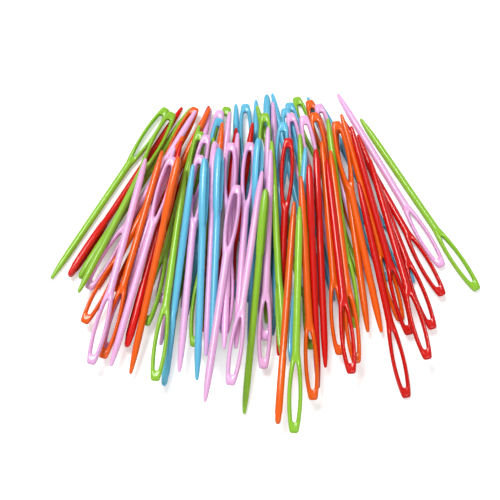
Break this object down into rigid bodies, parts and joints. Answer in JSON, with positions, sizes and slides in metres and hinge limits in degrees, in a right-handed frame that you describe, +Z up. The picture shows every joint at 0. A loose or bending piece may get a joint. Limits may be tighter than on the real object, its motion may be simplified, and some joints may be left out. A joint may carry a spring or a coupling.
{
  "type": "plastic yarn needle set",
  "caption": "Heap of blunt moulded plastic yarn needles in bright colours, each a round shaft with a rounded point and a long open eye, fanned out on a table.",
  "frame": {"origin": "middle of the heap in plan, at the table", "axes": "+X to the viewer's right across the fan, +Y away from the viewer along the needles, +Z up from the table"},
  "size_m": [0.1368, 0.1175, 0.0184],
  "materials": {
    "blue_plastic": "satin",
    "green_plastic": "satin",
    "lilac_plastic": "satin",
    "orange_plastic": "satin",
    "red_plastic": "satin"
  },
  "bodies": {
    "heap": {"buried_blue_needles": "blue_plastic", "buried_green_needles": "green_plastic", "buried_lilac_needles": "lilac_plastic", "buried_orange_needles": "orange_plastic", "buried_red_needles": "red_plastic", "needle_blue_05": "blue_plastic", "needle_blue_06": "blue_plastic", "needle_blue_07": "blue_plastic", "needle_green_01": "green_plastic", "needle_green_03": "green_plastic", "needle_green_04": "green_plastic", "needle_lilac_03": "lilac_plastic", "needle_lilac_06": "lilac_plastic", "needle_lilac_07": "lilac_plastic", "needle_lilac_09": "lilac_plastic", "needle_lilac_10": "lilac_plastic", "needle_lilac_11": "lilac_plastic", "needle_lilac_12": "lilac_plastic", "needle_orange_01": "orange_plastic", "needle_orange_02": "orange_plastic", "needle_orange_04": "orange_plastic", "needle_orange_06": "orange_plastic", "needle_orange_07": "orange_plastic", "needle_orange_09": "orange_plastic", "needle_red_02": "red_plastic", "needle_red_10": "red_plastic", "needle_red_11": "red_plastic"},
    "loose_lilac_13": {"needle_lilac_13": "lilac_plastic"},
    "loose_red_09": {"needle_red_09": "red_plastic"},
    "loose_red_08": {"needle_red_08": "red_plastic"},
    "loose_red_07": {"needle_red_07": "red_plastic"},
    "loose_red_01": {"needle_red_01": "red_plastic"},
    "loose_green_02": {"needle_green_02": "green_plastic"},
    "loose_lilac_01": {"needle_lilac_01": "lilac_plastic"},
    "loose_blue_04": {"needle_blue_04": "blue_plastic"},
    "loose_lilac_05": {"needle_lilac_05": "lilac_plastic"},
    "loose_green_07": {"needle_green_07": "green_plastic"},
    "loose_lilac_08": {"needle_lilac_08": "lilac_plastic"},
    "loose_blue_03": {"needle_blue_03": "blue_plastic"},
    "loose_lilac_04": {"needle_lilac_04": "lilac_plastic"},
    "loose_blue_02": {"needle_blue_02": "blue_plastic"},
    "loose_lilac_02": {"needle_lilac_02": "lilac_plastic"},
    "loose_orange_03": {"needle_orange_03": "orange_plastic"},
    "loose_red_04": {"needle_red_04": "red_plastic"},
    "loose_red_03": {"needle_red_03": "red_plastic"},
    "loose_orange_05": {"needle_orange_05": "orange_plastic"},
    "loose_green_08": {"needle_green_08": "green_plastic"},
    "loose_blue_01": {"needle_blue_01": "blue_plastic"},
    "loose_green_05": {"needle_green_05": "green_plastic"},
    "loose_green_06": {"needle_green_06": "green_plastic"},
    "loose_orange_08": {"needle_orange_08": "orange_plastic"},
    "loose_red_05": {"needle_red_05": "red_plastic"},
    "loose_red_06": {"needle_red_06": "red_plastic"}
  },
  "joints": [
    {"name": "lift_lilac_13", "type": "slide", "parent": "heap", "child": "loose_lilac_13", "axis": [0, 0, 1], "range_m": [0, 0.03]},
    {"name": "lift_red_09", "type": "slide", "parent": "loose_lilac_13", "child": "loose_red_09", "axis": [0, 0, 1], "range_m": [0, 0.03]},
    {"name": "lift_red_08", "type": "slide", "parent": "loose_red_09", "child": "loose_red_08", "axis": [0, 0, 1], "range_m": [0, 0.03]},
    {"name": "lift_red_07", "type": "slide", "parent": "loose_red_08", "child": "loose_red_07", "axis": [0, 0, 1], "range_m": [0, 0.03]},
    {"name": "lift_red_01", "type": "slide", "parent": "heap", "child": "loose_red_01", "axis": [0, 0, 1], "range_m": [0, 0.03]},
    {"name": "lift_green_02", "type": "slide", "parent": "loose_red_01", "child": "loose_green_02", "axis": [0, 0, 1], "range_m": [0, 0.03]},
    {"name": "lift_lilac_01", "type": "slide", "parent": "loose_green_02", "child": "loose_lilac_01", "axis": [0, 0, 1], "range_m": [0, 0.03]},
    {"name": "lift_blue_04", "type": "slide", "parent": "heap", "child": "loose_blue_04", "axis": [0, 0, 1], "range_m": [0, 0.03]},
    {"name": "lift_lilac_05", "type": "slide", "parent": "loose_blue_04", "child": "loose_lilac_05", "axis": [0, 0, 1], "range_m": [0, 0.03]},
    {"name": "lift_green_07", "type": "slide", "parent": "loose_lilac_05", "child": "loose_green_07", "axis": [0, 0, 1], "range_m": [0, 0.03]},
    {"name": "lift_lilac_08", "type": "slide", "parent": "heap", "child": "loose_lilac_08", "axis": [0, 0, 1], "range_m": [0, 0.03]},
    {"name": "lift_blue_03", "type": "slide", "parent": "loose_lilac_08", "child": "loose_blue_03", "axis": [0, 0, 1], "range_m": [0, 0.03]},
    {"name": "lift_lilac_04", "type": "slide", "parent": "loose_blue_03", "child": "loose_lilac_04", "axis": [0, 0, 1], "range_m": [0, 0.03]},
    {"name": "lift_blue_02", "type": "slide", "parent": "loose_lilac_08", "child": "loose_blue_02", "axis": [0, 0, 1], "range_m": [0, 0.03]},
    {"name": "lift_lilac_02", "type": "slide", "parent": "heap", "child": "loose_lilac_02", "axis": [0, 0, 1], "range_m": [0, 0.03]},
    {"name": "lift_orange_03", "type": "slide", "parent": "loose_lilac_02", "child": "loose_orange_03", "axis": [0, 0, 1], "range_m": [0, 0.03]},
    {"name": "lift_red_04", "type": "slide", "parent": "heap", "child": "loose_red_04", "axis": [0, 0, 1], "range_m": [0, 0.03]},
    {"name": "lift_red_03", "type": "slide", "parent": "loose_red_04", "child": "loose_red_03", "axis": [0, 0, 1], "range_m": [0, 0.03]},
    {"name": "lift_orange_05", "type": "slide", "parent": "loose_red_03", "child": "loose_orange_05", "axis": [0, 0, 1], "range_m": [0, 0.03]},
    {"name": "lift_green_08", "type": "slide", "parent": "loose_orange_05", "child": "loose_green_08", "axis": [0, 0, 1], "range_m": [0, 0.03]},
    {"name": "lift_blue_01", "type": "slide", "parent": "heap", "child": "loose_blue_01", "axis": [0, 0, 1], "range_m": [0, 0.03]},
    {"name": "lift_green_05", "type": "slide", "parent": "loose_blue_01", "child": "loose_green_05", "axis": [0, 0, 1], "range_m": [0, 0.03]},
    {"name": "lift_green_06", "type": "slide", "parent": "heap", "child": "loose_green_06", "axis": [0, 0, 1], "range_m": [0, 0.03]},
    {"name": "lift_orange_08", "type": "slide", "parent": "heap", "child": "loose_orange_08", "axis": [0, 0, 1], "range_m": [0, 0.03]},
    {"name": "lift_red_05", "type": "slide", "parent": "heap", "child": "loose_red_05", "axis": [0, 0, 1], "range_m": [0, 0.03]},
    {"name": "lift_red_06", "type": "slide", "parent": "heap", "child": "loose_red_06", "axis": [0, 0, 1], "range_m": [0, 0.03]}
  ]
}
